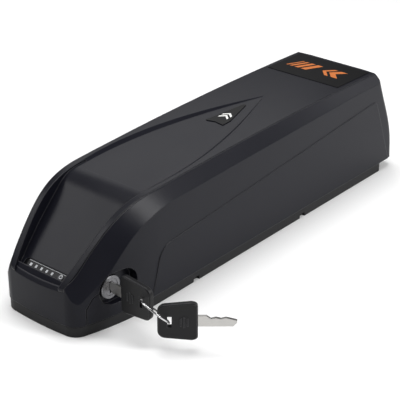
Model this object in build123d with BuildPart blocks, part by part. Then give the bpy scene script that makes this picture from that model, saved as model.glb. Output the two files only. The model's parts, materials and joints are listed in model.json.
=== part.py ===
"""Down-tube battery pack for an electric bicycle, with its mounting plate, key lock and two keys.

Millimetres. +X runs from the thin nose to the thick end, -Y is the lock side, +Z is up. The origin
is the middle of the row of mounting slots, on the underside of the plate.
"""

from build123d import *
import math
import os

# ---------------------------------------------------------------- driving dimensions
LENGTH = 367.0
HALF_WIDTH = 45.0
SHELL_BOTTOM = 8.0
WALL = 2.5
GAP = 0.3
PAD_HEIGHT = 0.5

PLATE_TOP = 7.4
PLATE_END = 353.0
PLATE_INSET = 1.0
SLOT_PITCH = 74.0
SLOT_WIDTH = 5.4
SLOT_LENGTH = 16.0

FLOOR_BOTTOM = 8.5
FLOOR_TOP = 11.0
PACK_TRAVEL = 16.0

LOCK_X = 32.0
LOCK_Z = 29.0
LOCK_FACE = 38.6
PIN_RADIUS = 6.0
BOLT_TRAVEL = 2 * PIN_RADIUS * math.sin(math.radians(45))

CELL_RADIUS = 9.15
CELL_LENGTH = 65.0
CELL_PITCH = 18.9
ROW_PITCH = 16.4
FIRST_ROW_Z = 24.8
CELL_ROWS = {"cell_row_lower": (85.0, 11), "cell_row_middle": (75.55, 14), "cell_row_upper": (66.1, 15)}

# each station: distance from the nose, wall half-width, crease height, rim half-width, rim height
NOSE_STATIONS = [
    (-6, 31, 10, 25, 26),
    (6, 35, 21, 27.2, 41),
    (18, 38, 32, 30.3, 53),
    (32, 40.8, 44.5, 32.9, 66),
    (46, 43.3, 57.8, 34.8, 75.6),
    (62, 44.8, 67.4, 36.2, 81),
]
# each level: height, distance from the nose at which the thick end stands
END_LEVELS = [(20, 366), (38, 362.4), (51, 357.5), (67, 350.5), (87, 342), (100, 335)]

os.makedirs("parts", exist_ok=True)


def along(distance):
    """X of a point that lies a distance behind the tip of the nose."""
    return distance - LENGTH / 2


def rim_height(distance):
    """Height of the top panel's edge behind the nose: a long, low arch."""
    if distance < 270:
        return 88.4 - 4.9 * ((270 - distance) / 180) ** 2
    return 88.4 - 1.7 * ((distance - 270) / 97) ** 2


def body_stations():
    stations = list(NOSE_STATIONS)
    for number in range(12):
        distance = 85 + 27 * number
        crease = min(73.2 + 0.034 * (distance - 90), 80.5)
        stations.append((distance, HALF_WIDTH, crease, 37.1 + 0.0035 * (distance - 85), rim_height(distance)))
    return stations


def finish(builder, name):
    """Labels a finished piece and writes it."""
    builder.part.label = name
    export_step(builder.part, f"parts/{name}.step")


def plan_outline(end, inset):
    """The pack's outline from above, set in by a distance and ending a distance behind the nose."""
    half = HALF_WIDTH - inset
    nose_half = 33 - 0.7 * inset
    nose = 2 + inset
    tail = end - 3 - inset
    with BuildSketch(mode=Mode.PRIVATE) as outline:
        with BuildLine():
            ThreePointArc((along(nose), -nose_half), (along(inset), 0), (along(nose), nose_half))
            for sign in (1, -1):
                TangentArc((along(72), sign * half), (along(nose), sign * nose_half), tangent=(-1, 0))
                Line((along(72), sign * half), (along(tail), sign * half))
            ThreePointArc((along(tail), -half), (along(end - inset), 0), (along(tail), half))
        make_face()
        fillet([v for v in outline.vertices() if v.X < along(10)], radius=12 - inset)
        fillet([v for v in outline.vertices() if v.X > along(tail - 5)], radius=6 - inset)
    return outline.sketch


def case_form(inset, bottom):
    """The whole case as one solid, set in all round by a distance, with its foot at a height."""
    with BuildPart(mode=Mode.PRIVATE) as walls:
        for height, end in [(bottom, LENGTH)] + END_LEVELS:
            with BuildSketch(Plane.XY.offset(height)):
                add(plan_outline(end, 0))
                if inset:
                    offset(amount=-inset)
        loft()
    with BuildPart(mode=Mode.PRIVATE) as roof:
        for distance, half_width, crease, rim_half, rim in body_stations():
            slope = (rim - crease) / (half_width - rim_half)
            reach = half_width + 6
            eave = crease - 6 * slope - 1.2 * inset
            edge = rim_half - 0.3 * inset
            ridge = rim - 1.1 * inset
            with BuildSketch(Plane.YZ.offset(along(distance))):
                with BuildLine():
                    Polyline((-reach, -40), (-reach, eave), (-edge, ridge), (edge, ridge), (reach, eave),
                             (reach, -40), close=True)
                make_face()
        loft()
    with BuildPart(mode=Mode.PRIVATE) as form:
        add(walls.part)
        add(roof.part, mode=Mode.INTERSECT)
    return form.part


def prism(face, low, high):
    """A flat XY face raised into a solid between two heights."""
    with BuildPart(mode=Mode.PRIVATE) as solid:
        with BuildSketch(Plane.XY.offset(low)):
            add(face)
        extrude(amount=high - low, dir=(0, 0, 1))
    return solid.part


def side_prism(face, low, high):
    """A face drawn in X and Z, raised into a solid between two Y values."""
    with BuildPart(mode=Mode.PRIVATE) as solid:
        with BuildSketch(Plane(origin=(0, high, 0), x_dir=(1, 0, 0), z_dir=(0, -1, 0))):
            add(face)
        extrude(amount=high - low, dir=(0, -1, 0))
    return solid.part


def block(low, high):
    """A plain box between two corners."""
    size = [high[i] - low[i] for i in range(3)]
    middle = [(high[i] + low[i]) / 2 for i in range(3)]
    return Pos(*middle) * Box(*size, mode=Mode.PRIVATE)


def common(first, second):
    """What two solids share."""
    with BuildPart(mode=Mode.PRIVATE) as shared:
        add(first)
        add(second, mode=Mode.INTERSECT)
    return shared.part


def rod(start, end, radius):
    """A plain round bar between two points."""
    direction = Vector(*end) - Vector(*start)
    bar = Cylinder(radius, direction.length, align=(Align.CENTER, Align.CENTER, Align.MIN), mode=Mode.PRIVATE)
    return Plane(origin=start, z_dir=direction).location * bar


# ---------------------------------------------------------------- shared forms
outer = case_form(0, SHELL_BOTTOM)
outer_low = case_form(PAD_HEIGHT, SHELL_BOTTOM)
inner = case_form(WALL + PAD_HEIGHT, SHELL_BOTTOM - 6)


def cover_outline(inset):
    """The top cover's outline from above."""
    with BuildSketch(mode=Mode.PRIVATE) as outline:
        with BuildLine():
            for sign in (1, -1):
                edge = [(-3, 20), (4, 26.3), (18, 30.3), (46, 34.8), (85, 37.1)]
                Spline(*[(along(d + inset), sign * (y - inset)) for d, y in edge])
                Line((along(85 + inset), sign * (37.1 - inset)), (along(350), sign * (38.1 - inset)))
            Line((along(-3 + inset), inset - 20), (along(-3 + inset), 20 - inset))
            Line((along(350), inset - 38.1), (along(350), 38.1 - inset))
        make_face()
    return outline.sketch


def above_roof_line(drop):
    """Everything above the roof's centre line lowered by a distance, drawn in X and Z."""
    points = [(along(d), z - drop) for d, _, _, _, z in body_stations()]
    with BuildSketch(mode=Mode.PRIVATE) as region:
        with BuildLine():
            Spline(*points)
            Polyline(points[0], (points[0][0], 120), (points[-1][0], 120), points[-1])
        make_face()
    return region.sketch


COVER_DEPTH = 3.0
seat = side_prism(above_roof_line(COVER_DEPTH), -60, 60)
with BuildPart(mode=Mode.PRIVATE) as cover_seat:
    add(prism(cover_outline(0), 0, 120))
    add(seat, mode=Mode.INTERSECT)
with BuildSketch(mode=Mode.PRIVATE) as opening_side:
    with BuildLine():
        Polyline((along(6), 27), (along(30), 54), (along(60), 71), (along(339), 74), (along(339), 120),
                 (along(6), 120), close=True)
    make_face()
cover_opening = common(side_prism(opening_side.sketch, -60, 60), prism(cover_outline(3), 0, 130))


# ---------------------------------------------------------------- case shell
def pad_outline(grow):
    """The raised panel on each side wall, drawn in X and Z."""
    with BuildSketch(mode=Mode.PRIVATE) as outline:
        with BuildLine():
            Polyline((along(64.6), 5), (along(75), 42.6), (along(334), 66.2), (along(358.3), 5), close=True)
        make_face()
        fillet([v for v in outline.vertices() if v.Y > 40 and v.X < 0], radius=14)
        fillet([v for v in outline.vertices() if v.Y > 40 and v.X > 0], radius=6)
        if grow:
            offset(amount=grow)
    return outline.sketch


def lock_recess_outline(grow):
    """The stadium-shaped recess around the lock, drawn in X and Z."""
    with BuildSketch(mode=Mode.PRIVATE) as outline:
        with Locations((along(36.5), 28.6)):
            SlotCenterToCenter(7.5, 2 * (11.7 + grow))
    return outline.sketch


def corner_groove():
    """The fine groove from the foot of the nose up to the lock recess, drawn in X and Z."""
    with BuildSketch(mode=Mode.PRIVATE) as ribbon:
        with BuildLine():
            Polyline((along(11.2), 0), (along(11.6), 20), (along(16), 26.2), (along(22), 29.4))
            offset(amount=0.4)
        make_face()
    return ribbon.sketch


CHARGE_X = 56.0
CHARGE_Z = 24.0
CHARGE_FLOOR = 41.6
SWITCH_X = 29.0
SWITCH_Z = 25.0
SWITCH_FLOOR = 36.0
BOSS_PLACES = [(along(d), s * 38.6) for d in (69.3, 140, 214, 312) for s in (1, -1)]

# planes and slopes of the scoop: lip, indicator strip and floor
STRIP_X = 9.9
STRIP_Z = 36.3
STRIP_ANGLE = 33.5
strip_plane = Plane(origin=(along(STRIP_X), 0, STRIP_Z),
                    x_dir=(math.cos(math.radians(STRIP_ANGLE)), 0, math.sin(math.radians(STRIP_ANGLE))),
                    z_dir=(-math.sin(math.radians(STRIP_ANGLE)), 0, math.cos(math.radians(STRIP_ANGLE))))
SPEAR_SLOPE = 2.3
spear_plane = Plane(origin=(along(75), 0, 80.6),
                    x_dir=(math.cos(math.radians(SPEAR_SLOPE)), 0, math.sin(math.radians(SPEAR_SLOPE))),
                    z_dir=(-math.sin(math.radians(SPEAR_SLOPE)), 0, math.cos(math.radians(SPEAR_SLOPE))))

# the charge cover's hinge stands behind it, towards the thick end
HINGE_D = 67.5
HINGE_Y = 43.1


def charge_hinge_rod(reach, radius):
    return rod((along(HINGE_D), HINGE_Y, CHARGE_Z - reach), (along(HINGE_D), HINGE_Y, CHARGE_Z + reach), radius)


LOCK_HOLE = 7.7
SCREW_BOSS = 3.4
SIDE_HOLES = [
    rod((along(LOCK_X), -50, LOCK_Z), (along(LOCK_X), -20, LOCK_Z), LOCK_HOLE),
    rod((along(CHARGE_X), 30, CHARGE_Z), (along(CHARGE_X), 50, CHARGE_Z), 6.2),
    block((along(SWITCH_X - 9.7), 30, SWITCH_Z - 6.7), (along(SWITCH_X + 9.7), 50, SWITCH_Z + 6.7)),
]

with BuildPart() as case_shell:
    add(outer_low)
    for low, high in ((-50, -30), (30, 50)):
        add(common(side_prism(pad_outline(0), low, high), outer))
    add(inner, mode=Mode.SUBTRACT)
    # the seat leaves a ledge under the cover's edge, and the opening goes on into the case
    add(cover_seat.part, mode=Mode.SUBTRACT)
    add(cover_opening, mode=Mode.SUBTRACT)
    # screw bosses stand against the side walls
    for x, y in BOSS_PLACES:
        web = block((x - 2, min(y, y * 1.12), FLOOR_TOP + 0.2), (x + 2, max(y, y * 1.12), 34))
        add(rod((x, y, FLOOR_TOP + 0.2), (x, y, 34), SCREW_BOSS) + web)
        add(rod((x, y, FLOOR_TOP), (x, y, 30), 1.3), mode=Mode.SUBTRACT)
    # thick floors behind the lock, the charge socket and the switch, then their recesses
    add(common(side_prism(lock_recess_outline(2.2), -41, -33.6), outer_low))
    add(common(rod((along(CHARGE_X), 39, CHARGE_Z), (along(CHARGE_X), 44, CHARGE_Z), 12), outer_low))
    add(common(block((along(SWITCH_X - 14), 33.6, SWITCH_Z - 10), (along(SWITCH_X + 14), 41, SWITCH_Z + 10)),
               outer_low))
    add(side_prism(lock_recess_outline(0), -60, -36.2), mode=Mode.SUBTRACT)
    add(rod((along(CHARGE_X), CHARGE_FLOOR, CHARGE_Z), (along(CHARGE_X), 60, CHARGE_Z), 9.3), mode=Mode.SUBTRACT)
    add(block((along(CHARGE_X + 5), CHARGE_FLOOR, CHARGE_Z - 4), (along(HINGE_D + 3.2), 60, CHARGE_Z + 4)),
        mode=Mode.SUBTRACT)
    add(charge_hinge_rod(6, 0.7), mode=Mode.SUBTRACT)
    add(block((along(SWITCH_X - 11.5), SWITCH_FLOOR, SWITCH_Z - 8.5), (along(SWITCH_X + 11.5), 60, SWITCH_Z + 8.5)),
        mode=Mode.SUBTRACT)
    for hole in SIDE_HOLES:
        add(hole, mode=Mode.SUBTRACT)
    # the fine groove at the front corner is one millimetre deep
    add(side_prism(corner_groove(), -60, -30) - case_form(PAD_HEIGHT + 0.9, SHELL_BOTTOM - 6), mode=Mode.SUBTRACT)
finish(case_shell, "case_shell")


# ---------------------------------------------------------------- top cover with the scoop and the spear
def scoop_outline(grow):
    """The scoop seen from above; grow thickens it for the wall behind."""
    with BuildSketch(mode=Mode.PRIVATE) as outline:
        with BuildLine():
            for sign in (1, -1):
                edge = [(-4, 19), (4, 21.4), (18, 25.4), (46, 30), (82, 32.2)]
                Spline(*[(along(d), sign * (y + grow)) for d, y in edge])
            Line((along(-4), -19 - grow), (along(-4), 19 + grow))
            Line((along(82), -32.2 - grow), (along(82), 32.2 + grow))
        make_face()
    return outline.sketch


def scoop_side(drop):
    """The space above the scoop's lip, strip, floor and upper bend, drawn in X and Z."""
    with BuildSketch(mode=Mode.PRIVATE) as region:
        with BuildLine():
            lip = Line((along(-5), 28.4 - drop), (along(6.8), 34.2 - drop))
            strip = Line(lip @ 1, (along(13), 38.3 - drop))
            floor = Line(strip @ 1, (along(54), 72.1 - drop))
            bend = ThreePointArc(floor @ 1, (along(63), 78.2 - drop), (along(75), 80.6 - drop))
            Polyline(bend @ 1, (along(84), 80.96 - drop), (along(84), 130), (along(-5), 130), lip @ 0)
        make_face()
    return region.sketch


def spear_space(depth, grow):
    """The space over the spear's floor, its walls leaning out as they rise."""
    with BuildPart(mode=Mode.PRIVATE) as space:
        for height, spread in ((-depth, grow), (8 - depth, grow + 12.8)):
            with BuildSketch(spear_plane.offset(height)):
                with BuildLine():
                    for sign in (1, -1):
                        Spline((-2, sign * (29.5 + spread)), (60, sign * (28 + spread)),
                               (108, sign * (18.5 + spread)), (168 + 1.6 * spread, 0))
                    Line((-2, -29.5 - spread), (-2, 29.5 + spread))
                make_face()
        loft(ruled=True)
    return space.part


scoop_space = common(prism(scoop_outline(0), 0, 140), side_prism(scoop_side(0), -60, 60))
scoop_back = common(prism(scoop_outline(2.3), 0, 140), side_prism(scoop_side(2.4), -60, 60))
cover_plate = common(prism(cover_outline(GAP), 0, 140), side_prism(above_roof_line(COVER_DEPTH - GAP), -60, 60))
cover_plate = common(cover_plate, block((along(-10), -60, 0), (along(340.5), 60, 120)))
backing = common(scoop_back, block((along(6.5), -60, 0), (along(80), 60, 95)))
backing = common(backing, prism(cover_outline(3.3), 0, 140))
spear_backing = common(spear_space(2.5, 2.5), block((along(74), -31.5, 0), (along(250), 31.5, 95)))

with BuildPart() as top_cover:
    add(cover_plate)
    add(backing)
    add(spear_backing)
    add(outer_low, mode=Mode.INTERSECT)
    add(scoop_space, mode=Mode.SUBTRACT)
    add(spear_space(0, 0), mode=Mode.SUBTRACT)
    # a pocket for the indicator window, and an opening for its board
    with BuildSketch(strip_plane.offset(3)):
        RectangleRounded(7.7, 40.6, 2)
    extrude(amount=-4.3, mode=Mode.SUBTRACT)
    with BuildSketch(strip_plane.offset(3)):
        RectangleRounded(6.2, 36, 1.5)
    extrude(amount=-8, mode=Mode.SUBTRACT)
finish(top_cover, "top_cover")

with BuildPart() as indicator_window:
    with BuildSketch(strip_plane):
        RectangleRounded(7.4, 40.2, 1.9)
        with Locations((0, -14)):
            Circle(2.6, mode=Mode.SUBTRACT)
    extrude(amount=-1.2)
finish(indicator_window, "indicator_window")

with BuildPart() as indicator_button:
    with BuildSketch(strip_plane.offset(0.3)):
        with Locations((0, -14)):
            Circle(2.35)
    extrude(amount=-1.7)
    with BuildSketch(strip_plane.offset(-1.3)):
        with Locations((0, -14)):
            Circle(2.9)
    extrude(amount=-0.35)
finish(indicator_button, "indicator_button")

with BuildPart() as indicator_board:
    with BuildSketch(strip_plane.offset(-2.1)):
        Rectangle(6.4, 38)
    extrude(amount=-1.2)
finish(indicator_board, "indicator_board")

with BuildPart() as indicator_leds:
    with BuildSketch(strip_plane.offset(-2.1)):
        with Locations(*[(0, y) for y in (-6, -1, 4, 9, 14)]):
            Rectangle(2.2, 1.6)
    extrude(amount=0.7)
finish(indicator_leds, "indicator_leds")

with BuildPart() as top_badge:
    with BuildSketch(spear_plane):
        with BuildLine():
            Polyline((108.5, 8), (146.5, 2.6), (147.5, 0.4), (118, -8), (109, -8), (110.5, 0), close=True)
        make_face()
        fillet(vertices(), radius=0.8)
    extrude(amount=0.5)
finish(top_badge, "top_badge")

LABEL_FROM = 293
LABEL_TO = 337


def label_section():
    """The end label's thin section along the roof, drawn in X and Z."""
    with BuildSketch(mode=Mode.PRIVATE) as section:
        low = [(along(d), rim_height(d) - 0.5) for d in (LABEL_FROM, (LABEL_FROM + LABEL_TO) / 2, LABEL_TO)]
        high = [(x, z + 0.25) for x, z in low]
        with BuildLine():
            ThreePointArc(*low)
            ThreePointArc(*high)
            Line(low[0], high[0])
            Line(low[2], high[2])
        make_face()
    return section.sketch


with BuildPart() as end_label:
    add(side_prism(label_section(), -34, 34))
finish(end_label, "end_label")

# ---------------------------------------------------------------- mounting plate
HOOKS = [(d, y) for d in (92, 262) for y in (-24, 24)]
BOLT_FROM = LOCK_X + 1
BOLT_TO = LOCK_X + 10.6
BOLT_Y = (-16.0, -13.0)
BOLT_FOOT = 9.2
STRIKE_TOP = PLATE_TOP
STRIKE_SCREWS = [(along(LOCK_X - 2.2), -14.5), (along(LOCK_X + 13.8), -14.5)]
BLOCK_FROM = 316.0
BLOCK_TO = 335.0
BLADE_Y = 7.0
BLADE_Z = (17.0, 24.0)
BLOCK_SCREWS = [(along(325), s * 14.3) for s in (1, -1)]

with BuildPart() as mount_plate:
    add(prism(plan_outline(PLATE_END, PLATE_INSET), 0, PLATE_TOP))
    with BuildSketch():
        with Locations(*[(step * SLOT_PITCH, 0) for step in (-1, 0, 1)]):
            SlotOverall(SLOT_LENGTH, SLOT_WIDTH)
    extrude(amount=PLATE_TOP, mode=Mode.SUBTRACT)
    with BuildSketch(Plane.XY.offset(PLATE_TOP)):
        with Locations(*[(step * SLOT_PITCH, 0) for step in (-1, 0, 1)]):
            SlotOverall(SLOT_LENGTH + 5.8, 11.2)
    extrude(amount=-3.8, mode=Mode.SUBTRACT)
    for distance, y in HOOKS:
        add(block((along(distance - 3), y - 3, PLATE_TOP), (along(distance + 3), y + 3, 11.4)))
        add(block((along(distance - 3), y - 7, 11.4), (along(distance + 3), y + 7, 13.3)))
    # pockets for the strike and its bolt, holes for the small screws, and the cable channel
    add(block((along(LOCK_X - 5), -20.5, PLATE_TOP - 1), (along(LOCK_X + 16.5), -8.5, 9)), mode=Mode.SUBTRACT)
    add(block((along(BOLT_FROM - 0.4), BOLT_Y[0] - 0.4, -1), (along(BOLT_TO + 0.4), BOLT_Y[1] + 0.4, 9)),
        mode=Mode.SUBTRACT)
    for x, y in STRIKE_SCREWS:
        add(rod((x, y, 2), (x, y, 8), 1.1), mode=Mode.SUBTRACT)
    for x, y in BLOCK_SCREWS:
        add(rod((x, y, 2), (x, y, 8), 1.3), mode=Mode.SUBTRACT)
    add(block((along(321), -6, 2), (along(330), 6, 9)), mode=Mode.SUBTRACT)
    add(block((along(322), -5, 2), (along(360), 5, 9)), mode=Mode.SUBTRACT)
    # finger notches in the foot of each long edge
    for distance in (112, 238):
        for y in (-45, 41.5):
            add(block((along(distance - 3), y, -1), (along(distance + 3), y + 3.5, 3.2)), mode=Mode.SUBTRACT)
finish(mount_plate, "mount_plate")

with BuildPart() as strike_plate:
    add(block((along(LOCK_X - 4.8), -20.3, PLATE_TOP - 1), (along(LOCK_X + 16.3), -8.7, STRIKE_TOP)))
    add(block((along(BOLT_FROM - 0.3), BOLT_Y[0] - 0.3, 0), (along(BOLT_TO + 0.3), BOLT_Y[1] + 0.3, 9)),
        mode=Mode.SUBTRACT)
    for x, y in STRIKE_SCREWS:
        add(rod((x, y, 0), (x, y, 9), 1.1), mode=Mode.SUBTRACT)
        add(rod((x, y, STRIKE_TOP - 0.5), (x, y, 9), 2), mode=Mode.SUBTRACT)
finish(strike_plate, "strike_plate")

with BuildPart() as strike_screws:
    for x, y in STRIKE_SCREWS:
        add(rod((x, y, 2), (x, y, STRIKE_TOP), 1.1))
        add(rod((x, y, STRIKE_TOP - 0.5), (x, y, STRIKE_TOP), 2))
finish(strike_screws, "strike_screws")


def blade_boxes(grow, start, stop):
    """The two broad contact blades, grown a little for the sockets that hold them."""
    return [block((along(start), s * BLADE_Y - 0.4 - grow, BLADE_Z[0] - grow),
                  (along(stop), s * BLADE_Y + 0.4 + grow, BLADE_Z[1] + grow)) for s in (1, -1)]


def signal_rods(radius, start, stop):
    return [rod((along(start), y, 20.5), (along(stop), y, 20.5), radius) for y in (-2.6, 0, 2.6)]


with BuildPart() as plate_connector:
    add(block((along(BLOCK_FROM), -16.4, PLATE_TOP), (along(BLOCK_TO), 16.4, 9.6)))
    add(block((along(BLOCK_FROM + 1), -12, 9.6), (along(BLOCK_TO - 1), 12, 27.4)))
    fillet(edges().filter_by(Axis.X).group_by(Axis.Z)[-1], 2)
    for blade in blade_boxes(0, 310, 327) + signal_rods(0.6, 310, 327):
        add(blade, mode=Mode.SUBTRACT)
    for x, y in BLOCK_SCREWS:
        add(rod((x, y, 0), (x, y, 12), 1.3), mode=Mode.SUBTRACT)
finish(plate_connector, "plate_connector")

with BuildPart() as plate_contacts:
    for blade in blade_boxes(0, 304.5, 327) + signal_rods(0.6, 306.5, 327):
        add(blade)
finish(plate_contacts, "plate_contacts")

with BuildPart() as connector_screws:
    for x, y in BLOCK_SCREWS:
        add(rod((x, y, 2.2), (x, y, 9.6), 1.3))
        add(rod((x, y, 9.6), (x, y, 11.2), 2))
finish(connector_screws, "connector_screws")

with BuildPart() as cable_grommet:
    add(block((along(346), -4.9, 2), (along(352.9), 4.9, PLATE_TOP)))
    add(block((along(352.9), -5.8, 1), (along(355.4), 5.8, PLATE_TOP)))
    fillet([e for e in edges().filter_by(Axis.X) if e.center().X > along(353)], 1.2)
    with BuildSketch(Plane.YZ.offset(along(340))):
        with Locations((0, 4.7)):
            SlotOverall(7, 4.3)
    extrude(amount=20, mode=Mode.SUBTRACT)
finish(cable_grommet, "cable_grommet")

# ---------------------------------------------------------------- bottom cover and its screws
POCKET = ((300.0, -17.0), (352.0, 17.0))
POCKET_TOP = 29.0

with BuildPart() as bottom_cover:
    add(prism(plan_outline(LENGTH - 0.8, WALL + PAD_HEIGHT + GAP), FLOOR_BOTTOM, FLOOR_TOP))
    add(block((along(POCKET[0][0] - 1.8), -18.8, FLOOR_BOTTOM), (along(POCKET[1][0] + 1.8), 18.8, 30.8)))
    add(block((along(POCKET[0][0]), -17, 0), (along(POCKET[1][0]), 17, POCKET_TOP)), mode=Mode.SUBTRACT)
    for s in (1, -1):
        add(rod((along(290), s * BLADE_Y, 20.5), (along(302), s * BLADE_Y, 20.5), 2), mode=Mode.SUBTRACT)
    # keyhole slots: narrow over each hook's neck, wide where the hook's head passes
    for distance, y in HOOKS:
        add(block((along(distance - 4), y - 3.5, 0), (along(distance + 14), y + 3.5, 12)), mode=Mode.SUBTRACT)
        add(block((along(distance + 12), y - 7.5, 0), (along(distance + 21), y + 7.5, 12)), mode=Mode.SUBTRACT)
    add(block((along(BOLT_FROM - 0.4), BOLT_Y[0] - 0.4, 0), (along(BOLT_TO + 0.4), BOLT_Y[1] + 0.4, 12)),
        mode=Mode.SUBTRACT)
    for x, y in BOSS_PLACES:
        add(rod((x, y, 0), (x, y, 12), 1.6), mode=Mode.SUBTRACT)
        add(rod((x, y, 0), (x, y, FLOOR_BOTTOM + 1.3), 3.1), mode=Mode.SUBTRACT)
finish(bottom_cover, "bottom_cover")

with BuildPart() as bottom_screws:
    for x, y in BOSS_PLACES:
        add(rod((x, y, FLOOR_BOTTOM + 0.1), (x, y, FLOOR_BOTTOM + 1.3), 2.9))
        add(rod((x, y, FLOOR_BOTTOM + 1.3), (x, y, 24), 1.3))
finish(bottom_screws, "bottom_screws")

# ---------------------------------------------------------------- lock
lock_plane = Plane(origin=(along(LOCK_X), 0, LOCK_Z), x_dir=(1, 0, 0), z_dir=(0, -1, 0))
RECESS_FLOOR = 36.2
PIN_X = PIN_RADIUS * math.cos(math.radians(45))

with BuildPart() as lock_body:
    with BuildSketch(lock_plane.offset(RECESS_FLOOR)):
        Circle(8.6)
    extrude(amount=LOCK_FACE - RECESS_FLOOR)
    chamfer(faces().sort_by(Axis.Y)[0].edges(), 0.5)
    with BuildSketch(lock_plane.offset(20)):
        Circle(7.5)
    extrude(amount=RECESS_FLOOR - 20)
    with BuildSketch(lock_plane.offset(19)):
        Circle(6.05)
    extrude(amount=25, mode=Mode.SUBTRACT)
finish(lock_body, "lock_body")

with BuildPart() as lock_nut:
    with BuildSketch(lock_plane.offset(30.5)):
        RegularPolygon(10.4, 6)
        Circle(7.55, mode=Mode.SUBTRACT)
    extrude(amount=3)
finish(lock_nut, "lock_nut")

with BuildPart() as lock_plug:
    with BuildSketch(lock_plane.offset(19.5)):
        Circle(6)
        Rectangle(2.6, 8.6, mode=Mode.SUBTRACT)
    extrude(amount=LOCK_FACE - 0.3 - 19.5)
finish(lock_plug, "lock_plug")

with BuildPart() as lock_cam:
    with BuildSketch(lock_plane.offset(17.5)):
        Circle(5)
        with Locations((PIN_X, PIN_X)):
            Circle(2.6)
        make_hull()
    extrude(amount=2)
    with BuildSketch(lock_plane.offset(12.4)):
        with Locations((PIN_X, PIN_X)):
            Circle(1.5)
    extrude(amount=5.1)
finish(lock_cam, "lock_cam")

with BuildPart() as lock_bolt:
    add(block((along(BOLT_FROM), BOLT_Y[0], BOLT_FOOT), (along(BOLT_TO), BOLT_Y[1], 39)))
    chamfer(edges().filter_by(Axis.Y).group_by(Axis.Z)[0], 1)
    add(block((along(LOCK_X + PIN_X - 1.8), -20, LOCK_Z + PIN_X - 1.8),
              (along(LOCK_X + PIN_RADIUS + 1.8), -10, LOCK_Z + PIN_X + 1.8)), mode=Mode.SUBTRACT)
finish(lock_bolt, "lock_bolt")

with BuildPart() as bolt_guide:
    add(block((along(BOLT_FROM - 4), -19.4, FLOOR_TOP), (along(BOLT_TO + 4), -9.6, 21)))
    fillet(edges().filter_by(Axis.Z), 1.5)
    add(block((along(BOLT_FROM - 0.3), BOLT_Y[0] - 0.3, 0), (along(BOLT_TO + 0.3), BOLT_Y[1] + 0.3, 30)),
        mode=Mode.SUBTRACT)
finish(bolt_guide, "bolt_guide")

# ---------------------------------------------------------------- keys and ring
KEY_THICK = 4.2
SLOT_FROM_END = 7.8
HEAD_LENGTH = 26.0
HEAD_START = 48.6


def key_head_sketch():
    """A key head lying along local +X, with the ring slot near its far end."""
    with BuildSketch(mode=Mode.PRIVATE) as head:
        with BuildLine():
            Polyline((0, -13), (0, 13), (4, 14), (HEAD_LENGTH, 11.8), (HEAD_LENGTH, -11.8), (4, -14), close=True)
        make_face()
        fillet([v for v in head.vertices() if v.X > 20], radius=5.5)
        fillet([v for v in head.vertices() if v.X < 2], radius=3)
        fillet([v for v in head.vertices() if 3 < v.X < 5], radius=4)
        with Locations((HEAD_LENGTH - SLOT_FROM_END, 0)):
            Rectangle(2.8, 8, mode=Mode.SUBTRACT)
    return head.sketch


def key_blade_sketch(length):
    """A flat key blade lying along local -X from the head, with one toothed edge."""
    with BuildSketch(mode=Mode.PRIVATE) as blade:
        with BuildLine():
            teeth = [(-length + 4 + 3.2 * n, 1.6 + 0.9 * (n % 2)) for n in range(5)]
            Polyline((3, -3.8), (-length + 2.5, -3.8), (-length, -1), (-length, 0.5), *teeth,
                     (-length + 19.5, 3.8), (3, 3.8), close=True)
        make_face()
    return blade.sketch


def key_head_solid(plane):
    """A head with softened rims and a hollow for the blade's root."""
    with BuildPart(mode=Mode.PRIVATE) as solid:
        with BuildSketch(plane.offset(-KEY_THICK / 2)):
            add(key_head_sketch())
        extrude(amount=KEY_THICK)
        flat = [f for f in solid.faces() if f.area > 300]
        chamfer([e for f in flat for e in f.outer_wire().edges()], 0.8)
    return solid.part


def key_blade_solid(plane, length):
    with BuildPart(mode=Mode.PRIVATE) as solid:
        with BuildSketch(plane.offset(-1)):
            add(key_blade_sketch(length))
        extrude(amount=2)
        with BuildSketch(plane.offset(1)):
            with Locations((-length / 2 - 1, -0.6)):
                Rectangle(length - 3, 0.9)
        extrude(amount=-0.5, mode=Mode.SUBTRACT)
    return solid.part


lock_key_plane = Plane(origin=(along(LOCK_X), -HEAD_START, LOCK_Z), x_dir=(0, -1, 0), z_dir=(1, 0, 0))
ring_pin = Vector(along(LOCK_X), -HEAD_START - HEAD_LENGTH + SLOT_FROM_END, LOCK_Z + 0.6)
# the ring's plane holds these two directions; the keys hang where it crosses their slots
RING_RADIUS = 12.1
across = Vector(0.294, -0.781, -0.551)
along_view = Vector(0.68, 0.575, -0.454)
ring_centre = ring_pin + across * (0.805 * RING_RADIUS) - along_view * (0.593 * RING_RADIUS)
spare_slot = ring_centre + across * RING_RADIUS
SPARE_HANG = Vector(0, 0, 1.7)
spare_plane = Plane(origin=spare_slot + SPARE_HANG - Vector(-0.646, 0.764, 0) * (HEAD_LENGTH - SLOT_FROM_END),
                    x_dir=(-0.646, 0.764, 0), z_dir=(0.764, 0.646, 0))
BLADE_LENGTH = 27.0
SPARE_BLADE_LENGTH = 25.0

lock_blade_form = key_blade_solid(lock_key_plane, BLADE_LENGTH)
spare_blade_form = key_blade_solid(spare_plane, SPARE_BLADE_LENGTH)

with BuildPart() as key_head:
    add(key_head_solid(lock_key_plane))
    add(lock_blade_form, mode=Mode.SUBTRACT)
finish(key_head, "key_head")

with BuildPart() as key_blade:
    add(lock_blade_form)
finish(key_blade, "key_blade")

with BuildPart() as spare_key_head:
    add(key_head_solid(spare_plane))
    add(spare_blade_form, mode=Mode.SUBTRACT)
finish(spare_key_head, "spare_key_head")

with BuildPart() as spare_key_blade:
    add(spare_blade_form)
finish(spare_key_blade, "spare_key_blade")

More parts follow.
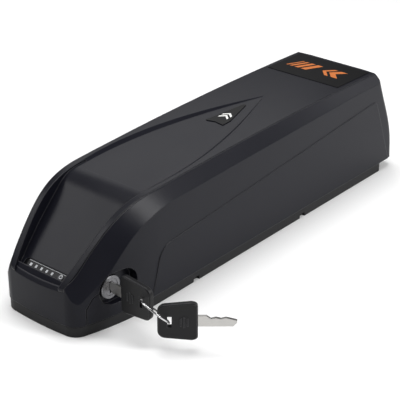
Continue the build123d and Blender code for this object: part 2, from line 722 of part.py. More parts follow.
ring_plane = Plane(origin=ring_centre, x_dir=across, z_dir=across.cross(along_view))
with BuildPart() as key_ring:
    with BuildSketch(ring_plane.offset(-0.8)):
        Circle(RING_RADIUS + 0.8)
        Circle(RING_RADIUS - 0.8, mode=Mode.SUBTRACT)
    extrude(amount=1.6)
finish(key_ring, "key_ring")

# ---------------------------------------------------------------- charge socket and its cover
charge_plane = Plane(origin=(along(CHARGE_X), 0, CHARGE_Z), x_dir=(-1, 0, 0), z_dir=(0, 1, 0))

with BuildPart() as charge_socket:
    with BuildSketch(charge_plane.offset(CHARGE_FLOOR)):
        Circle(8.3)
    extrude(amount=1.5)
    with BuildSketch(charge_plane.offset(27)):
        Circle(6)
    extrude(amount=CHARGE_FLOOR - 27)
    with BuildSketch(charge_plane.offset(30)):
        Circle(2.75)
    extrude(amount=20, mode=Mode.SUBTRACT)
    with BuildSketch(charge_plane.offset(28)):
        Circle(1.05)
    extrude(amount=5, mode=Mode.SUBTRACT)
finish(charge_socket, "charge_socket")

with BuildPart() as charge_pin:
    with BuildSketch(charge_plane.offset(28)):
        Circle(1.05)
    extrude(amount=14)
finish(charge_pin, "charge_pin")

with BuildPart() as charge_nut:
    with BuildSketch(charge_plane.offset(36.4)):
        RegularPolygon(8.6, 6)
        Circle(6.05, mode=Mode.SUBTRACT)
    extrude(amount=2.5)
finish(charge_nut, "charge_nut")

with BuildPart() as charge_cover:
    with BuildSketch(charge_plane.offset(43.4)):
        Circle(8.9)
    extrude(amount=1.4)
    fillet(faces().sort_by(Axis.Y)[-1].edges(), 0.8)
    with BuildSketch(charge_plane.offset(42.6)):
        Circle(2.3)
    extrude(amount=0.8)
    add(block((along(CHARGE_X + 7), HINGE_Y + 0.3, CHARGE_Z - 2.5), (along(HINGE_D), HINGE_Y + 1.3, CHARGE_Z + 2.5)))
    add(charge_hinge_rod(2.5, 1.3))
    add(charge_hinge_rod(4, 0.75), mode=Mode.SUBTRACT)
finish(charge_cover, "charge_cover")

with BuildPart() as charge_cover_pin:
    add(charge_hinge_rod(5.5, 0.7))
finish(charge_cover_pin, "charge_cover_pin")

# ---------------------------------------------------------------- power switch
PIVOT_Y = 33.5
ROCKER_TILT = 8.0

with BuildPart() as switch_body:
    add(block((along(SWITCH_X - 11), SWITCH_FLOOR, SWITCH_Z - 8), (along(SWITCH_X + 11), 37.4, SWITCH_Z + 8)))
    add(block((along(SWITCH_X - 9.5), 22, SWITCH_Z - 6.5), (along(SWITCH_X + 9.5), SWITCH_FLOOR, SWITCH_Z + 6.5)))
    add(block((along(SWITCH_X - 8.2), 28, SWITCH_Z - 5.3), (along(SWITCH_X + 8.2), 40, SWITCH_Z + 5.3)),
        mode=Mode.SUBTRACT)
    add(rod((along(SWITCH_X), PIVOT_Y, SWITCH_Z - 6), (along(SWITCH_X), PIVOT_Y, SWITCH_Z + 6), 0.9),
        mode=Mode.SUBTRACT)
finish(switch_body, "switch_body")

with BuildPart() as rocker:
    tilted = Plane(origin=(along(SWITCH_X), PIVOT_Y, SWITCH_Z - 5),
                   x_dir=(math.cos(math.radians(ROCKER_TILT)), math.sin(math.radians(ROCKER_TILT)), 0),
                   z_dir=(0, 0, 1))
    with BuildSketch(tilted):
        with BuildLine():
            Polyline((-7.2, -1), (-7.2, 4.6), (0, 3.2), (7.2, 4.6), (7.2, -1), (0, -3.6), close=True)
        make_face()
        Circle(0.95, mode=Mode.SUBTRACT)
    extrude(amount=10)
finish(rocker, "rocker")

with BuildPart() as rocker_pin:
    add(rod((along(SWITCH_X), PIVOT_Y, SWITCH_Z - 6), (along(SWITCH_X), PIVOT_Y, SWITCH_Z + 6), 0.9))
finish(rocker_pin, "rocker_pin")

# ---------------------------------------------------------------- discharge socket
with BuildPart() as discharge_socket:
    add(block((along(POCKET[0][0]), -13, 12), (along(314.3), 13, 28)))
    for gap_box in blade_boxes(0.8, 303, 320) + signal_rods(0.95, 305, 320):
        add(gap_box, mode=Mode.SUBTRACT)
finish(discharge_socket, "discharge_socket")

with BuildPart() as socket_contacts:
    for s in (1, -1):
        for side in (1, -1):
            inner_face = s * BLADE_Y + side * 0.8
            add(block((along(303), min(inner_face, inner_face + side * 0.35), 17.5),
                      (along(312), max(inner_face, inner_face + side * 0.35), 23.5)))
finish(socket_contacts, "socket_contacts")

# ---------------------------------------------------------------- cells, holders and strips
HOLDER_INNER = 25.5
HOLDER_OUTER = CELL_LENGTH / 2
ROW_BANDS = {"cell_row_lower": (14.2, 34.0), "cell_row_middle": (31.2, 50.0), "cell_row_upper": (47.6, 68.2)}


def row_centres(name):
    first, count = CELL_ROWS[name]
    height = FIRST_ROW_Z + ROW_PITCH * list(CELL_ROWS).index(name)
    return [(along(first + CELL_PITCH * number), height) for number in range(count)]


def cell_solid(x, z):
    """One cell lying across the pack: a can with a crimped neck and a raised positive end."""
    with BuildPart(mode=Mode.PRIVATE) as cell:
        with BuildSketch(Plane(origin=(x, -CELL_LENGTH / 2, z), x_dir=(1, 0, 0), z_dir=(0, 0, 1))):
            with BuildLine():
                Polyline((0, 0), (CELL_RADIUS, 0), (CELL_RADIUS, 60.4), (CELL_RADIUS - 0.7, 61), (CELL_RADIUS - 0.7, 61.8),
                         (CELL_RADIUS, 62.4), (CELL_RADIUS, 64.2), (4, 64.2), (4, CELL_LENGTH), (0, CELL_LENGTH),
                         close=True)
            make_face()
        revolve(axis=Axis((x, 0, z), (0, 1, 0)))
    return cell.part


for row_name in CELL_ROWS:
    with BuildPart() as cell_row:
        for centre_x, centre_z in row_centres(row_name):
            add(cell_solid(centre_x, centre_z))
    finish(cell_row, row_name)


def holder_outline():
    """The cell holder's stepped outline, drawn in X and Z."""
    with BuildSketch(mode=Mode.PRIVATE) as outline:
        for name, (low, high) in ROW_BANDS.items():
            centres = row_centres(name)
            length = centres[-1][0] - centres[0][0] + 21.4
            with Locations(((centres[0][0] + centres[-1][0]) / 2, (low + high) / 2)):
                Rectangle(length, high - low)
    return outline.sketch


def all_centres():
    return [centre for name in CELL_ROWS for centre in row_centres(name)]


for side_name, low_y, high_y in (("left", -HOLDER_OUTER, -HOLDER_INNER), ("right", HOLDER_INNER, HOLDER_OUTER)):
    with BuildPart() as cell_holder:
        with BuildSketch(Plane(origin=(0, high_y, 0), x_dir=(1, 0, 0), z_dir=(0, -1, 0))):
            add(holder_outline())
            with Locations(*all_centres()):
                Circle(CELL_RADIUS + 0.05, mode=Mode.SUBTRACT)
        extrude(amount=HOLDER_OUTER - HOLDER_INNER)
    finish(cell_holder, f"cell_holder_{side_name}")

STRIP_THICK = 0.2
with BuildPart() as nickel_strips:
    for face_y, first_cell in ((-HOLDER_OUTER, 0), (HOLDER_OUTER + STRIP_THICK, 1)):
        with BuildSketch(Plane(origin=(0, face_y, 0), x_dir=(1, 0, 0), z_dir=(0, -1, 0))):
            for name in CELL_ROWS:
                centres = row_centres(name)
                for number in range(first_cell, len(centres) - 1, 2):
                    middle = (centres[number][0] + centres[number + 1][0]) / 2
                    with Locations((middle, centres[number][1])):
                        RectangleRounded(CELL_PITCH + 8, 8, 1.5)
        extrude(amount=STRIP_THICK)
finish(nickel_strips, "nickel_strips")

with BuildPart() as side_insulation:
    for face_y in (-HOLDER_OUTER - STRIP_THICK, HOLDER_OUTER + STRIP_THICK + 0.4):
        with BuildSketch(Plane(origin=(0, face_y, 0), x_dir=(1, 0, 0), z_dir=(0, -1, 0))):
            add(holder_outline())
        extrude(amount=0.4)
finish(side_insulation, "side_insulation")

with BuildPart() as top_insulation:
    add(block((along(64), -30, 68.3), (along(336), 30, 69.1)))
finish(top_insulation, "top_insulation")

# ---------------------------------------------------------------- protection board, fuse and leads
BOARD = (200.0, 268.0)
with BuildPart() as bms_foam:
    add(block((along(BOARD[0]), -24, 69.1), (along(BOARD[1]), 24, 72)))
finish(bms_foam, "bms_foam")

with BuildPart() as bms_board:
    add(block((along(BOARD[0]), -26, 72), (along(BOARD[1]), 26, 73.6)))
finish(bms_board, "bms_board")

with BuildPart() as bms_transistors:
    for number in range(6):
        start = BOARD[0] + 12 + 8 * number
        add(block((along(start), -18, 73.6), (along(start + 6.4), -8, 76)))
finish(bms_transistors, "bms_transistors")

with BuildPart() as bms_heat_sink:
    add(block((along(BOARD[0] + 10), -20, 76), (along(BOARD[1] - 8), -6, 77)))
    for number in range(5):
        y = -19 + 3 * number
        add(block((along(BOARD[0] + 10), y, 77), (along(BOARD[1] - 8), y + 1, 79.4)))
finish(bms_heat_sink, "bms_heat_sink")

with BuildPart() as bms_parts:
    for distance, y, length, width, height in ((212, 12, 10, 9, 1.2), (230, 14, 7, 7, 1.4), (250, 14, 12, 5, 5)):
        add(block((along(distance), y - width / 2, 73.6), (along(distance + length), y + width / 2, 73.6 + height)))
finish(bms_parts, "bms_parts")

FUSE_Z = 73.6
with BuildPart() as fuse_holder:
    add(block((along(121), -7, 69.1), (along(159), 7, 78)))
    fillet(edges().filter_by(Axis.Z), 2)
    add(block((along(124), -4.4, 71), (along(156), 4.4, 80)), mode=Mode.SUBTRACT)
finish(fuse_holder, "fuse_holder")

with BuildPart() as main_fuse:
    add(rod((along(124), 0, 75), (along(130), 0, 75), 3.2))
    add(rod((along(150), 0, 75), (along(156), 0, 75), 3.2))
    add(rod((along(130), 0, 75), (along(150), 0, 75), 2.9))
finish(main_fuse, "main_fuse")


def lead(points, radius):
    """A round lead along a route of (distance from nose, Y, Z) points, with generous bends."""
    route = [Vector(along(d), y, z) for d, y, z in points]
    radii = []
    for before, corner, after in zip(route, route[1:], route[2:]):
        run = min((corner - before).length, (after - corner).length)
        turn = math.radians((corner - before).get_angle(after - corner))
        radii.append(0.45 * run / math.tan(turn / 2))
    with BuildPart(mode=Mode.PRIVATE) as wire:
        with BuildLine() as path:
            FilletPolyline(*route, radius=radii)
        with BuildSketch(Plane(origin=route[0], z_dir=route[1] - route[0])):
            Circle(radius)
        sweep(path=path.line)
    return wire.part


LEADS = {
    "lead_socket_positive": (1.6, [(299.9, 7, 20.5), (289, 8, 20.5), (287, 24, 21), (288, 37.4, 26), (288, 37.5, 48),
                                   (287, 37, 70), (278, 33, 75.4), (266.2, 22, 75.2)]),
    "lead_socket_negative": (1.6, [(299.9, -7, 20.5), (289, -8, 20.5), (287, -24, 21), (288, -37.4, 26),
                                   (288, -37.5, 48), (287, -37, 70), (278, -31, 76), (268.2, -24, 74.5)]),
    "lead_cells_to_fuse": (1.6, [(75.6, 33.2, 57.6), (75.8, 37.6, 58.4), (80, 36.5, 71), (98, 22, 73.4),
                                 (110, 3, 73.9), (120.6, 0, 73.6)]),
    "lead_fuse_to_board": (1.6, [(159.4, 0, 73.6), (172, 2, 74.6), (186, 7, 76.6), (199.4, 12, 77)]),
    "lead_charge": (1.1, [(56, 26.9, 24), (55.6, 19, 24.6), (49, 13, 32), (45.6, 10, 47), (49.5, 9, 60.5),
                          (59, 9.5, 70.8), (78, 12, 70.5), (104, 16, 70.6), (134, 17.5, 70.7), (168, 18, 73),
                          (199.2, 20, 75.6)]),
    "lead_indicator": (0.8, [(13.6, -6, 33.6), (20, -6, 35.5), (31, -5, 43), (43, -4, 55), (52, -4, 65.4),
                             (64, -6, 72.2), (80, -10, 73.6), (112, -14, 74), (150, -15, 74.6),
                             (180, -20, 74.6), (199.2, -23.4, 74.6)]),
    "balance_harness": (1.3, [(236, -34.6, 40), (236.4, -35, 52), (236, -35.2, 64), (236, -33, 74),
                              (236, -26.2, 75)]),
}

for lead_name, (lead_radius, lead_route) in LEADS.items():
    with BuildPart() as lead_part:
        add(lead(lead_route, lead_radius))
    finish(lead_part, lead_name)
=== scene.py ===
"""Looks for the down-tube battery pack: finishes, printed marks, the split ring and the studio.

Metres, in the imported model's frame. +X runs from the thin nose to the thick end, -Y is the lock side.
"""

import json
import math

import bmesh
import bpy
from mathutils import Matrix, Vector


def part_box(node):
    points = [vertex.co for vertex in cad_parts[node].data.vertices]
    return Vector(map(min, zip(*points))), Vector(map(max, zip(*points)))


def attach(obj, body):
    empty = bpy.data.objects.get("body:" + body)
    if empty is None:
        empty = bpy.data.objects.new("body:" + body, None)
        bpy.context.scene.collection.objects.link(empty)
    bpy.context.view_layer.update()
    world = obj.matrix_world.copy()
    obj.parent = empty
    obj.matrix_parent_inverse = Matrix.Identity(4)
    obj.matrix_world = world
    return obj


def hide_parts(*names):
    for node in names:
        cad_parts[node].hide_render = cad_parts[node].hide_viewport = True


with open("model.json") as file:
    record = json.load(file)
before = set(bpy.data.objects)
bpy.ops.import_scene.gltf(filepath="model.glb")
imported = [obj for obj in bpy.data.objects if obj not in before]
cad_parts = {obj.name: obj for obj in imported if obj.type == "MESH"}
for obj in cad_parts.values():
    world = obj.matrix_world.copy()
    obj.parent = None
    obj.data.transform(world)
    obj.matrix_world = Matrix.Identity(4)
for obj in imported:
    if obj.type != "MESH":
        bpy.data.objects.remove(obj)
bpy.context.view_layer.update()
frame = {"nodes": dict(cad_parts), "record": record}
nodes = frame["nodes"]
joints = {joint["name"]: joint for joint in frame["record"]["behaviour"]["joints"]}

# Width and gain of the highlight painted into the base colour along edges (moulded's rim)
PAINTED_HIGHLIGHT_WIDTH = 0.0007
PAINTED_HIGHLIGHT_GAIN = 5
RING_WIRE_RADIUS = 0.00041
RING_PITCH = 0.00076
RING_TURN = 708
RING_STEPS = 168
LENS = 115.2
EYE = (-0.6656, -0.5494, 0.4610)
SIGHT = (0.6805, 0.5753, -0.4538)
LIGHT_TARGET = (-0.02, 0, 0.05)
WORLD_STRENGTH = 0.14
# name, place, size, power in watts
LIGHTS = (
    ("overhead", (-0.1, 0.15, 1.5), (1.1, 1.1), 21),
    ("scoop_softbox", (-0.55, 0.75, 0.85), (0.5, 0.4), 2.8),
    ("top_softbox", (0.60, 0.68, 0.68), (0.7, 0.35), 1.2),
    ("shoulder_softbox", (0.22, -0.8, 0.53), (0.32, 0.34), 5.2),
    ("tail_softbox", (0.885, -0.46, 0.56), (0.3, 0.4), 1.2),
)


# ---------------------------------------------------------------- shader tools
class Field:
    """A number that varies over a surface, with ordinary arithmetic."""

    def __init__(self, graph, socket):
        self.graph = graph
        self.socket = socket

    def math(self, operation, *others, clamp=False):
        node = self.graph.tree.nodes.new("ShaderNodeMath")
        node.operation = operation
        node.use_clamp = clamp
        for slot, value in enumerate((self,) + others):
            self.graph.feed(node.inputs[slot], value)
        return Field(self.graph, node.outputs[0])

    def __add__(self, other):
        return self.math("ADD", other)

    __radd__ = __add__

    def __mul__(self, other):
        return self.math("MULTIPLY", other)

    __rmul__ = __mul__

    def __sub__(self, other):
        return self.math("SUBTRACT", other)

    def __rsub__(self, other):
        return (self * -1) + other

    def __truediv__(self, other):
        return self.math("DIVIDE", other)

    def __abs__(self):
        return self.math("ABSOLUTE")

    def clamped(self):
        return self.math("ADD", 0.0, clamp=True)

    def most(self, other):
        return self.math("MAXIMUM", other)

    def wave(self):
        return self.math("SINE")


class Graph:
    """One material: its node tree, its shader and the helpers that fill it."""

    def __init__(self, name):
        self.material = bpy.data.materials.new(name)
        self.material.use_nodes = True
        self.tree = self.material.node_tree
        self.shader = self.tree.nodes["Principled BSDF"]
        coordinates = self.tree.nodes.new("ShaderNodeTexCoord")
        self.place = coordinates.outputs["Object"]
        split = self.make("ShaderNodeSeparateXYZ", Vector=self.place)
        self.x, self.y, self.z = (Field(self, output) for output in split.outputs)

    def feed(self, socket, value):
        if isinstance(value, Field):
            value = value.socket
        if isinstance(value, bpy.types.NodeSocket):
            self.tree.links.new(value, socket)
        else:
            socket.default_value = value

    def make(self, kind, settings=None, **inputs):
        node = self.tree.nodes.new(kind)
        for key, value in (settings or {}).items():
            setattr(node, key, value)
        for key, value in inputs.items():
            self.feed(node.inputs[key.replace("_", " ")], value)
        return node

    def noise(self, per_metre, detail=3.0, stretch=(1, 1, 1)):
        """Smooth noise from 0 to 1; a stretch under 1 draws it out along that axis."""
        place = self.make("ShaderNodeVectorMath", {"operation": "MULTIPLY"})
        self.feed(place.inputs[0], self.place)
        place.inputs[1].default_value = stretch
        node = self.make("ShaderNodeTexNoise", Vector=place.outputs[0], Scale=per_metre, Detail=detail)
        return Field(self, node.outputs[0])

    def blend(self, factor, first, second):
        """From the first colour to the second as the factor goes from 0 to 1."""
        node = self.tree.nodes.new("ShaderNodeMix")
        node.data_type = "RGBA"
        sockets = {socket.identifier: socket for socket in node.inputs}
        self.feed(sockets["Factor_Float"], factor)
        self.feed(sockets["A_Color"], colour(first))
        self.feed(sockets["B_Color"], colour(second))
        return next(output for output in node.outputs if output.identifier == "Result_Color")

    def set(self, **inputs):
        for key, value in inputs.items():
            self.feed(self.shader.inputs[key.replace("_", " ")], value)
        return self

    def relief(self, height, distance, rounding=0.0):
        """Bumps up to a distance in metres, over edges rounded by a radius in metres."""
        bump = self.make("ShaderNodeBump", Height=height, Distance=distance, Strength=1.0)
        if rounding:
            edge = self.make("ShaderNodeBevel", {"samples": 6}, Radius=rounding)
            self.feed(bump.inputs["Normal"], edge.outputs[0])
        self.feed(self.shader.inputs["Normal"], bump.outputs[0])
        return self

    def edges(self, radius):
        """1 along sharp edges and seams, 0 on open faces; the mask for the highlight painted along edges."""
        rounded = self.make("ShaderNodeBevel", {"samples": 6}, Radius=radius)
        flat = self.make("ShaderNodeNewGeometry")
        match = self.make("ShaderNodeVectorMath", {"operation": "DOT_PRODUCT"})
        self.feed(match.inputs[0], rounded.outputs[0])
        self.feed(match.inputs[1], flat.outputs["Normal"])
        return ((1 - Field(self, match.outputs["Value"])) * PAINTED_HIGHLIGHT_GAIN).clamped()


def colour(value):
    return (*value, 1.0) if isinstance(value, tuple) and len(value) == 3 else value


def inside(value, low, high, soft=0.00008):
    """1 where a field lies between two values, 0 outside, with a soft edge."""
    middle = (low + high) / 2
    half = (high - low) / 2
    return ((half - abs(value - middle)) / soft + 0.5).clamped()


def ring_mark(first, second, centre, radius, width):
    """A thin printed circle around a point."""
    across = first - centre[0]
    up = second - centre[1]
    distance = (across * across + up * up).math("SQRT")
    return inside(distance, radius - width / 2, radius + width / 2)


# ---------------------------------------------------------------- finishes
def moulded(name, tone, rough, grain=0.00002, rounding=0.0004, coat=0.0, shine=0.22, rim=0.0):
    """Spark-textured moulding: fine grain, soft cloudy sheen and faint handling marks, and where rim is set a
    painted highlight along the edges.
    """
    g = Graph(name)
    cloud = g.noise(22, 4)
    grit = g.noise(2600, 2)
    pits = g.noise(900, 3)
    smear = g.noise(45, 5, (0.25, 1, 1))
    dark = tuple(0.82 * c for c in tone)
    light = tuple(1.22 * c + 0.002 for c in tone)
    base = g.blend((cloud * 0.7 + grit * 0.3).clamped(), dark, light)
    # Painted highlight: rim brightens the base colour along sharp edges and seams in place of glints of light
    if rim:
        base = g.blend(g.edges(PAINTED_HIGHLIGHT_WIDTH), base, (rim, rim, 1.08 * rim))
    g.set(Base_Color=base)
    g.set(Roughness=(rough - 0.06 + cloud * 0.06 + smear * 0.05 + grit * 0.06).clamped())
    g.set(Coat_Weight=coat, Specular_IOR_Level=shine)
    g.relief(grit * 0.7 + pits * 0.3, grain, rounding)
    return g


def metal(name, tone, rough, brushed=(1, 1, 1), rounding=0.0002):
    """Plated or bare metal with drawn scratches and patches of wear."""
    g = Graph(name)
    scratch = g.noise(1400, 3, brushed)
    patch = g.noise(120, 4)
    dark = tuple(0.72 * c for c in tone)
    g.set(Base_Color=g.blend((scratch * 0.5 + patch * 0.5).clamped(), dark, tone))
    g.set(Metallic=1.0, Roughness=(rough - 0.08 + scratch * 0.12 + patch * 0.08).clamped())
    g.relief(scratch, 0.000012, rounding)
    return g


def glossy(name, tone, rough=0.12, coat=0.5, shine=0.3):
    g = Graph(name)
    dust = g.noise(1500, 2)
    wave = g.noise(30, 3)
    g.set(Base_Color=g.blend(wave, tuple(0.85 * c for c in tone), tuple(1.15 * c + 0.001 for c in tone)))
    g.set(Roughness=(rough + wave * 0.05 + dust * 0.04).clamped(), Specular_IOR_Level=shine)
    g.set(Coat_Weight=coat, Coat_Roughness=0.08)
    g.relief(wave * 0.6 + dust * 0.4, 0.000008, 0.00025)
    return g


def printed(g, mask, ink, rough=0.42):
    """Lays printed ink over a finish where the mask is 1."""
    base = g.shader.inputs["Base Color"].links[0].from_socket
    sheen = Field(g, g.shader.inputs["Roughness"].links[0].from_socket)
    g.set(Base_Color=g.blend(mask, base, ink), Roughness=sheen + (rough - sheen) * mask)
    return g


def end_label_finish():
    g = glossy("end_label_film", (0.004, 0.004, 0.0045), 0.36, 0.0, 0.08)
    low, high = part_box("end_label")
    mark_x = low.x + 0.52 * (high.x - low.x)
    lean = g.y + (g.x - mark_x) * 0.45
    band = inside(g.x, mark_x - 0.0075, mark_x + 0.0075)
    mask = inside(lean, 0.0225, 0.0240)
    for start, width in ((0.0180, 0.0025), (0.0120, 0.0036), (0.0045, 0.0050)):
        mask = mask.most(inside(lean, start, start + width))
    arrow = g.y + 0.016 + abs(g.x - mark_x) * 0.9
    mask = mask.most(inside(arrow, 0.0, 0.006)).most(inside(arrow, 0.009, 0.0125)) * band
    edge = g.noise(700, 3)
    mask = (mask * (0.82 + edge * 0.3)).clamped()
    return printed(g, mask, (0.50, 0.15, 0.04))


def badge_finish():
    g = glossy("badge_gloss", (0.003, 0.003, 0.0035), 0.25, 0.0, 0.08)
    low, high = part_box("top_badge")
    middle = low.x + 0.38 * (high.x - low.x)
    chevron = g.x - middle + abs(g.y) * 0.9
    arms = inside(chevron, -0.0012, 0.0008) * inside(g.y, -0.0042, 0.0042)
    second = inside(chevron - 0.0042, -0.0012, 0.0008) * inside(g.y, -0.0042, 0.0042)
    return printed(g, arms.most(second), (0.82, 0.82, 0.8))


def window_finish():
    g = glossy("window_smoke", (0.004, 0.004, 0.005), 0.14, 0.0, 0.1)
    low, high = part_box("indicator_window")
    middle = (low.x + high.x) / 2
    row = inside(g.x, middle - 0.0009, middle + 0.0009)
    lights = inside(g.y, 0.0130, 0.0150)
    for centre in (0.009, 0.004, -0.001, -0.006):
        lights = lights.most(inside(g.y, centre - 0.0008, centre + 0.0008))
    frame_lines = inside(g.y, -0.0168, 0.0172) * inside(abs(g.x - middle), 0.0021, 0.0023)
    return printed(g, (row * lights).most(frame_lines), (0.5, 0.51, 0.53))


def button_finish():
    g = moulded("button_soft", (0.05, 0.05, 0.055), 0.6)
    low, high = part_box("indicator_button")
    centre = ((low.x + high.x) / 2, (low.y + high.y) / 2)
    stroke = inside(g.y, centre[1] - 0.00018, centre[1] + 0.00018) * inside(g.x, centre[0], centre[0] + 0.0016)
    return printed(g, ring_mark(g.x, g.y, centre, 0.0012, 0.0003).most(stroke), (0.75, 0.76, 0.78))


def rocker_finish():
    g = glossy("rocker_gloss", (0.35, 0.012, 0.01), 0.2)
    low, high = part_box("rocker")
    middle = (low.x + high.x) / 2
    level = (low.z + high.z) / 2
    stroke = inside(g.z, level - 0.002, level + 0.002) * inside(g.x, middle + 0.0035, middle + 0.0041)
    circle = ring_mark(g.x, g.z, (middle - 0.0038, level), 0.0018, 0.0005)
    return printed(g, circle.most(stroke), (0.85, 0.85, 0.83))


def board_finish():
    g = glossy("board_mask", (0.012, 0.10, 0.035), 0.3)
    tracks = inside((g.x * 900).wave() * (g.y * 700).wave(), 0.55, 1.1, 0.05)
    return printed(g, tracks * 0.5, (0.03, 0.2, 0.08), 0.3)


def sleeve_finish():
    """Shrink sleeve, wrinkled a little, with the bare can showing at each end."""
    g = glossy("cell_sleeve", (0.02, 0.20, 0.42), 0.28)
    ends = inside(abs(g.y), 0.0318, 0.0400)
    g.set(Metallic=ends)
    return printed(g, ends, (0.6, 0.6, 0.6), 0.3)


def ceramic_fuse_finish():
    g = glossy("fuse_body", (0.7, 0.68, 0.6), 0.4)
    low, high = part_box("main_fuse")
    cap = inside(g.x, low.x - 0.001, low.x + 0.006).most(inside(g.x, high.x - 0.006, high.x + 0.001))
    g.set(Metallic=cap)
    return printed(g, cap, (0.75, 0.74, 0.7), 0.25)


def wire(name, tone):
    return moulded(name, tone, 0.5, 0.000015, 0.0)


finishes = {
    # rim sets the tone of a highlight painted along the edges of the shell and cover
    "shell_plastic": moulded("shell_texture", (0.0056, 0.0058, 0.0100), 0.31, rounding=0.0009,
                             shine=0.15, rim=0.06),
    "cover_plastic": moulded("cover_texture", (0.0054, 0.0056, 0.0096), 0.29, rounding=0.0009,
                             shine=0.15, rim=0.06),
    "plate_plastic": moulded("plate_texture", (0.012, 0.012, 0.013), 0.48),
    "window_gloss": window_finish(),
    "button_rubber": button_finish(),
    "badge_gloss": badge_finish(),
    "label_film": end_label_finish(),
    "steel": metal("zinc_plate", (0.55, 0.56, 0.57), 0.36),
    "lock_chrome": metal("satin_chrome", (0.20, 0.20, 0.21), 0.26, (1, 0.1, 1)),
    # rim paints a highlight along the key grip's edges
    "key_plastic": moulded("key_grip", (0.009, 0.009, 0.010), 0.38, 0.000015, 0.0006, rim=0.09),
    "key_metal": metal("key_nickel", (0.56, 0.55, 0.53), 0.28, (0.2, 0.2, 1)),
    "ring_steel": metal("ring_wire", (0.66, 0.66, 0.67), 0.18),
    "contact_copper": metal("contact_copper", (0.72, 0.42, 0.25), 0.3),
    "nickel": metal("nickel_strip", (0.62, 0.6, 0.56), 0.35, (0.1, 1, 1)),
    "cell_sleeve": sleeve_finish(),
    "holder_plastic": moulded("holder_moulding", (0.03, 0.03, 0.03), 0.55),
    "paper": moulded("fish_paper", (0.16, 0.2, 0.13), 0.75, 0.00003, 0.0),
    "foam": moulded("closed_foam", (0.03, 0.03, 0.032), 0.9, 0.0001, 0.0),
    "board": board_finish(),
    "chips": moulded("chip_moulding", (0.015, 0.015, 0.015), 0.5, 0.00001),
    "led": glossy("led_lens", (0.7, 0.72, 0.66), 0.15),
    "heat_sink": metal("heat_sink_alloy", (0.66, 0.66, 0.67), 0.42, (0.1, 1, 1)),
    "socket_plastic": moulded("socket_moulding", (0.014, 0.014, 0.014), 0.5),
    "rubber": moulded("soft_rubber", (0.012, 0.012, 0.012), 0.62, 0.00003),
    "rocker_red": rocker_finish(),
    "wire_red": wire("lead_red", (0.42, 0.015, 0.012)),
    "wire_black": wire("lead_black", (0.012, 0.012, 0.012)),
    "wire_white": wire("lead_white", (0.6, 0.6, 0.57)),
    "fuse_glass": ceramic_fuse_finish(),
}

for entry in frame["record"]["subparts"]:
    mesh = nodes[entry["node"]].data
    mesh.materials.clear()
    mesh.materials.append(finishes[entry["material_slot"]].material)


# ---------------------------------------------------------------- new pieces
def add_piece(form, name, body, slot, smooth=True):
    """Turns a bmesh into a piece that rides on a body and takes a slot's finish."""
    bmesh.ops.recalc_face_normals(form, faces=form.faces)
    mesh = bpy.data.meshes.new(name)
    form.to_mesh(mesh)
    form.free()
    if smooth:
        mesh.shade_smooth()
    piece = bpy.data.objects.new(name, mesh)
    bpy.context.scene.collection.objects.link(piece)
    mesh.materials.append(finishes[slot].material)
    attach(piece, body)
    return piece


def middle_of(node):
    low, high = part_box(node)
    return (low + high) / 2


def basis(origin, first, second):
    """A matrix that stands a shape made in local X, Y and Z at an origin along two given directions."""
    first = first.normalized()
    normal = first.cross(second).normalized()
    second = normal.cross(first)
    return Matrix.Translation(origin) @ Matrix((first, second, normal)).transposed().to_4x4()


def split_ring():
    """Two close turns of round wire in the place of the plain hoop."""
    centre = middle_of("key_ring")
    far = Vector(joints["spare_key_swing"]["pos_m"])
    sight = Vector(joints["spare_key_swing"]["axis"])
    radius = (far - centre).length
    place = basis(centre, far - centre, sight)
    form = bmesh.new()
    bmesh.ops.create_circle(form, segments=12, radius=RING_WIRE_RADIUS, cap_ends=True)
    turn = Matrix.Rotation(math.radians(90), 4, "X")
    bmesh.ops.transform(form, matrix=Matrix.Translation((radius, 0, -RING_PITCH / 2)) @ turn, verts=form.verts)
    bmesh.ops.spin(form, geom=form.faces[:] + form.edges[:] + form.verts[:], cent=(0, 0, 0), axis=(0, 0, 1),
                   dvec=(0, 0, RING_PITCH / RING_STEPS), angle=math.radians(RING_TURN), steps=RING_STEPS,
                   use_duplicate=False)
    bmesh.ops.transform(form, matrix=place, verts=form.verts)
    piece = add_piece(form, "split_ring_wire", "key_ring", "ring_steel")
    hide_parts("key_ring")


def raised_frame(name, body, place, width, height, rim, rise):
    """A thin raised outline with a short bar inside, moulded on a key's grip."""
    form = bmesh.new()
    bmesh.ops.create_grid(form, x_segments=1, y_segments=1, size=0.5)
    bmesh.ops.scale(form, vec=(width, height, 1), verts=form.verts)
    corners = form.verts[:]
    bmesh.ops.bevel(form, geom=corners, offset=0.002, segments=5, profile=0.5, affect="VERTICES", material=-1,
                    offset_type="OFFSET")
    inner = bmesh.ops.inset_region(form, faces=form.faces[:], thickness=rim, use_even_offset=True)
    middle = [face for face in form.faces if face not in inner["faces"]]
    bmesh.ops.delete(form, geom=middle, context="FACES")
    raised = bmesh.ops.extrude_face_region(form, geom=form.faces[:])
    moved = [item for item in raised["geom"] if isinstance(item, bmesh.types.BMVert)]
    bmesh.ops.translate(form, vec=(0, 0, rise), verts=moved)
    for step in (-1, 0, 1):
        made = bmesh.ops.create_cube(form, size=1)
        bmesh.ops.scale(form, vec=(0.0011, height * (0.5 - 0.14 * abs(step)), rise), verts=made["verts"])
        bmesh.ops.translate(form, vec=(step * 0.0022, 0, rise / 2), verts=made["verts"])
    bmesh.ops.transform(form, matrix=place, verts=form.verts)
    return add_piece(form, name, body, "key_plastic", smooth=False)


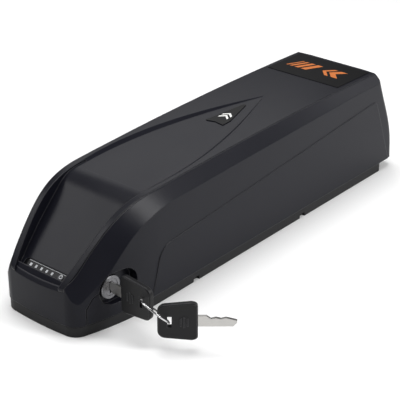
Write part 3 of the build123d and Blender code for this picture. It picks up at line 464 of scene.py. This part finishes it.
def grip_marks(grip, blade, body):
    """A raised frame on each flat of a key's grip, on the side nearer the blade."""
    mesh = nodes[grip].data
    flat = max(mesh.polygons, key=lambda face: face.area)
    normal = flat.normal.copy()
    depths = [vertex.co.dot(normal) for vertex in mesh.vertices]
    blade_way = middle_of(blade) - middle_of(grip)
    blade_way = (blade_way - normal * blade_way.dot(normal)).normalized()
    centre = middle_of(grip) + blade_way * 0.0042
    for label, outward, depth in (("near", normal, max(depths)), ("far", -normal, min(depths))):
        origin = centre + normal * (depth - centre.dot(normal))
        place = basis(origin, blade_way, outward.cross(blade_way))
        raised_frame(f"{grip}_frame_{label}", body, place, 0.0105, 0.0165, 0.0009, 0.0004)


split_ring()
grip_marks("key_head", "key_blade", "key")
grip_marks("spare_key_head", "spare_key_blade", "spare_key")


# ---------------------------------------------------------------- studio
def floor():
    form = bmesh.new()
    bmesh.ops.create_grid(form, x_segments=1, y_segments=1, size=6)
    mesh = bpy.data.meshes.new("floor")
    form.to_mesh(mesh)
    form.free()
    piece = bpy.data.objects.new("floor", mesh)
    bpy.context.scene.collection.objects.link(piece)
    g = Graph("floor_paper")
    mottle = g.noise(6, 3)
    g.set(Base_Color=g.blend(mottle, (0.90, 0.90, 0.90), (0.93, 0.93, 0.93)), Roughness=0.55 + mottle * 0.1)
    mesh.materials.append(g.material)


def area_light(name, place, size, power):
    data = bpy.data.lights.new(name, "AREA")
    data.shape = "RECTANGLE"
    data.size, data.size_y = size
    data.energy = power
    lamp = bpy.data.objects.new(name, data)
    lamp.location = place
    lamp.rotation_euler = (Vector(LIGHT_TARGET) - Vector(place)).to_track_quat("-Z", "Y").to_euler()
    bpy.context.scene.collection.objects.link(lamp)


def camera():
    data = bpy.data.cameras.new("camera")
    data.lens = LENS
    data.sensor_width = 36
    data.clip_start = 0.01
    eye = bpy.data.objects.new("camera", data)
    eye.location = EYE
    eye.rotation_euler = Vector(SIGHT).to_track_quat("-Z", "Y").to_euler()
    bpy.context.scene.collection.objects.link(eye)
    bpy.context.scene.camera = eye


floor()
camera()
for light in LIGHTS:
    area_light(*light)
world = bpy.data.worlds.new("studio")
bpy.context.scene.world = world
world.use_nodes = True
backdrop = world.node_tree.nodes["Background"]
backdrop.inputs["Color"].default_value = (1, 1, 1, 1)
backdrop.inputs["Strength"].default_value = WORLD_STRENGTH
bpy.context.scene.view_settings.view_transform = "Standard"
